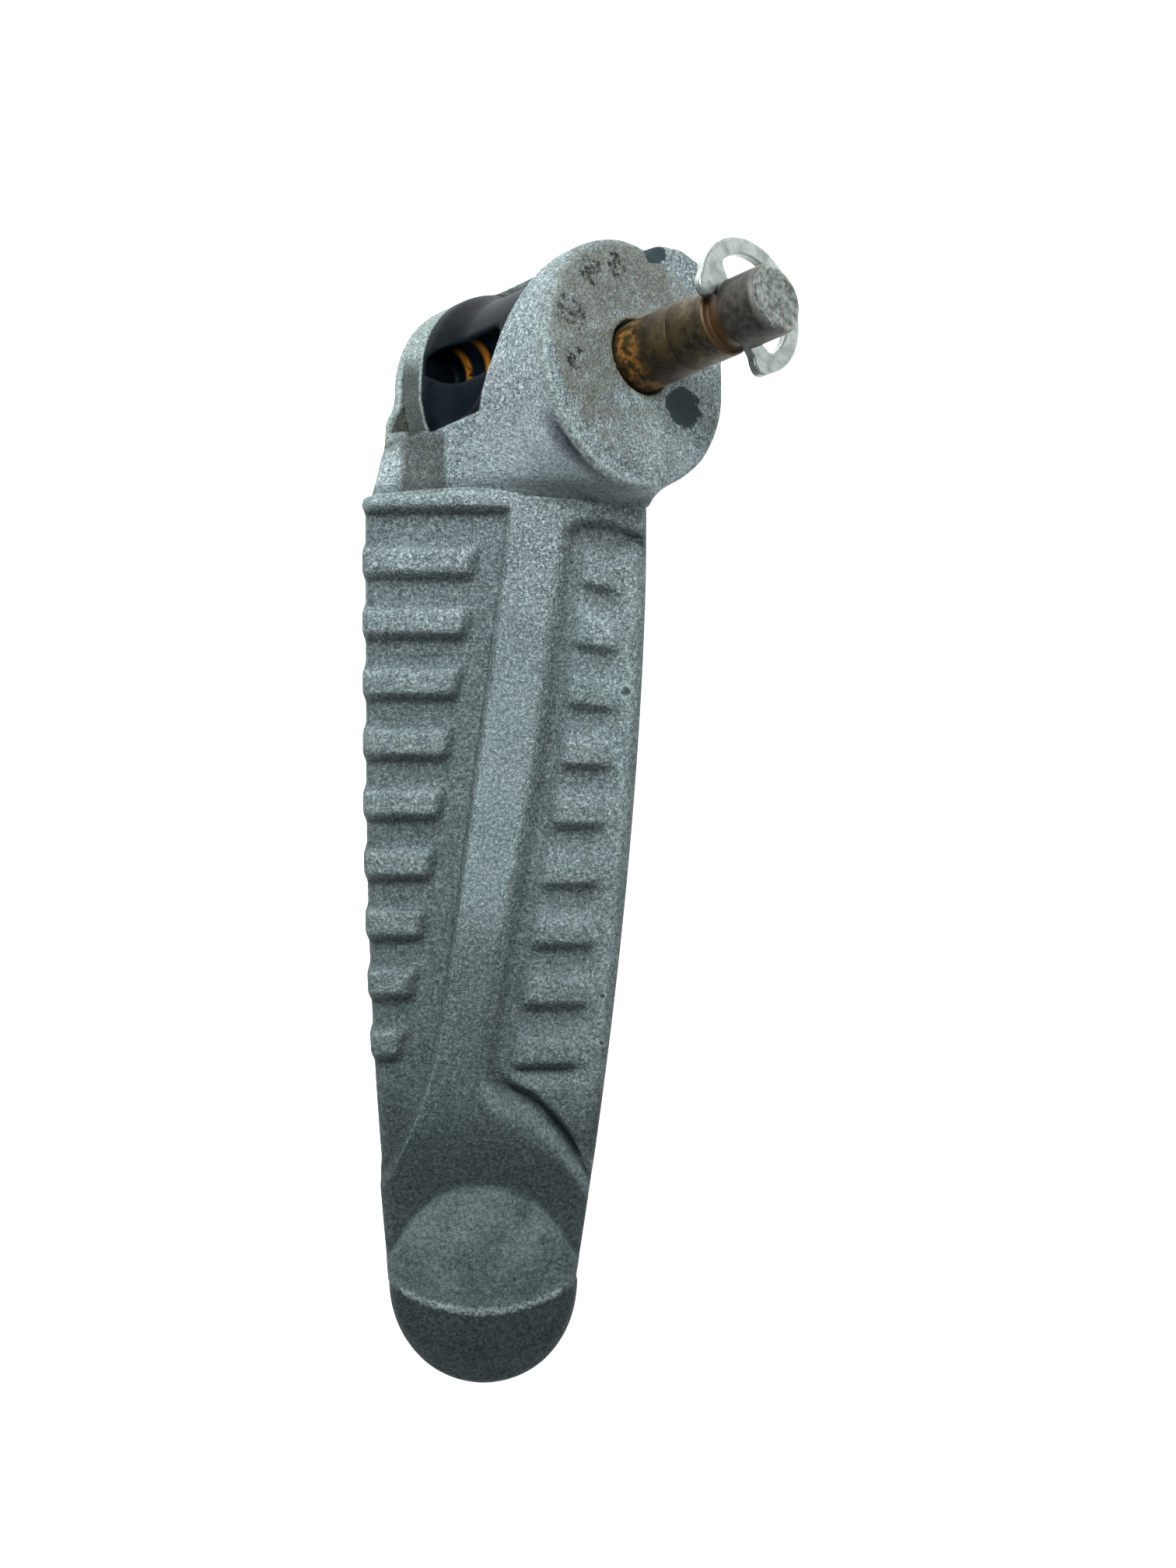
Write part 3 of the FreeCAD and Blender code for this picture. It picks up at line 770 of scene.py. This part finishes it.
def brightClip(start, place):
    fine = place.noise(0.5, 4.0, 0.6)
    base = place.noise(1.6, 3.0).between(0.3, 0.7).blend(rgb(150, 157, 155), rgb(112, 119, 117))
    base = ((1 - place.noise(1.6, 3.0).between(0.3, 0.4)) * 0.4).blend(base, rgb(98, 92, 78))
    return {"Base Color": base, "Roughness": 0.3 + fine * 0.15, "Metallic": 0.85,
            "Normal": start.bump(fine, 0.02)}


def wornBall(start, place):
    fine = place.noise(0.4, 3.0)
    return {"Base Color": fine.between(0.4, 0.65).blend(rgb(120, 116, 110), rgb(84, 66, 46)),
            "Roughness": 0.3 + fine * 0.2, "Metallic": 0.9, "Normal": start.bump(fine, 0.02)}


def rustySpring(start, place):
    fine = place.noise(0.4, 3.0, 0.65)
    return {"Base Color": fine.between(0.35, 0.65).blend(rgb(92, 60, 34), rgb(168, 98, 36)),
            "Roughness": 0.7, "Metallic": 0.2, "Normal": start.bump(fine, 0.05)}


def paleFloor(start, place):
    cloud = place.noise(60.0, 2.0)
    base = cloud.between(0.3, 0.7).blend(rgb(250, 250, 250), rgb(253, 253, 253))
    return {"Base Color": base, "Roughness": 0.9,
            "Emission Color": (1.0, 1.0, 1.0, 1.0), "Emission Strength": 0.85}


def dress(piece, body, slot, finish, *nodes):
    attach(piece, body)
    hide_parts(*nodes)
    piece.data.materials.clear()
    piece.data.materials.append(finish)


castFinish = material("cast_aluminium_blasted", castAluminium)
for part in makeCasting():
    dress(part, "peg", "cast_aluminium", castFinish, "peg_casting")
dress(makePin(), "pin", "rusty_steel", material("rusty_steel_pin", rustySteel), "pivot_pin")
print("pin done")
dress(makeClip(), "clip", "bright_clip", material("bright_plated_clip", brightClip), "e_clip")
dress(makeSpring(), "peg", "spring_steel", material("rusty_spring_wire", rustySpring), "detent_spring")
dress(makeBall(), "ball", "ball_steel", material("worn_ball", wornBall), "detent_ball")
print("clip, spring and ball done")

studio = {
    "floorZ": -28.4, "floorHalf": 1500.0, "surround": 0.33,
    "lens": 76.8, "height": 375.0, "footX": 29.56, "footY": -5.55, "lean": 2.743,
    "windowLight": {"from": (-255, -90, 320), "to": (10, -15, 0), "size": 0.3, "power": 4.5,
                    "tint": (0.975, 1.0, 0.99)},
    "sideFill": {"from": (160, 340, 380), "to": (40, -10, 0), "size": 0.5, "power": 0.5,
                 "tint": (1.0, 0.99, 0.97)},
}


def makeStudio():
    p = studio
    half, z = p["floorHalf"], p["floorZ"]
    corners = np.array([(-half, -half, z), (half, -half, z), (half, half, z), (-half, half, z)])
    floor = makeMesh("floor", corners, [(0, 1, 2, 3)])
    floor.data.materials.append(material("pale_floor", paleFloor))
    addLamp("window_light", p["windowLight"])
    addLamp("side_fill", p["sideFill"])
    world = bpy.data.worlds.new("studio")
    world.use_nodes = True
    world.node_tree.nodes["Background"].inputs["Color"].default_value = (0.965, 1.0, 0.99, 1)
    # the surround is plain white to the camera and dimmer as a light
    seen = Link(world.node_tree).node("ShaderNodeLightPath", {}, {}, "Is Camera Ray")
    seen = seen * (1 - p["surround"]) + p["surround"]
    world.node_tree.links.new(seen.socket, world.node_tree.nodes["Background"].inputs["Strength"])
    bpy.context.scene.world = world
    bpy.context.scene.view_settings.view_transform = "Standard"


def addLamp(name, p):
    lamp = bpy.data.lights.new(name, "AREA")
    lamp.shape, lamp.size, lamp.energy, lamp.color = "DISK", p["size"], p["power"], p["tint"]
    holder = bpy.data.objects.new(name, lamp)
    source, target = np.array(p["from"]) * mm, np.array(p["to"]) * mm
    aim = source - target
    holder.matrix_world = lookFrame(source, aim / np.linalg.norm(aim), np.array([1.0, 0, 0]))
    bpy.context.scene.collection.objects.link(holder)


def lookFrame(eye, backward, down):
    # frame whose -Z looks along -backward and whose -Y is near the given down
    right = np.cross(-down, backward)
    right /= np.linalg.norm(right)
    up = np.cross(backward, right)
    frameMatrix = Matrix.Identity(4)
    for row in range(3):
        for column, axis in enumerate((right, up, backward)):
            frameMatrix[row][column] = axis[row]
        frameMatrix[row][3] = eye[row]
    return frameMatrix


def makeCamera():
    p = studio
    data = bpy.data.cameras.new("camera")
    data.sensor_fit, data.sensor_height, data.lens = "VERTICAL", 36.0, p["lens"]
    data.clip_start = 0.01
    holder = bpy.data.objects.new("camera", data)
    lean = math.radians(p["lean"])
    backward = np.array([-math.sin(lean), 0, math.cos(lean)])
    down = np.array([math.cos(lean), 0, math.sin(lean)])
    holder.matrix_world = lookFrame(np.array([p["footX"], p["footY"], p["height"]]) * mm, backward, down)
    bpy.context.scene.collection.objects.link(holder)
    bpy.context.scene.camera = holder


makeStudio()
makeCamera()
print("studio done")
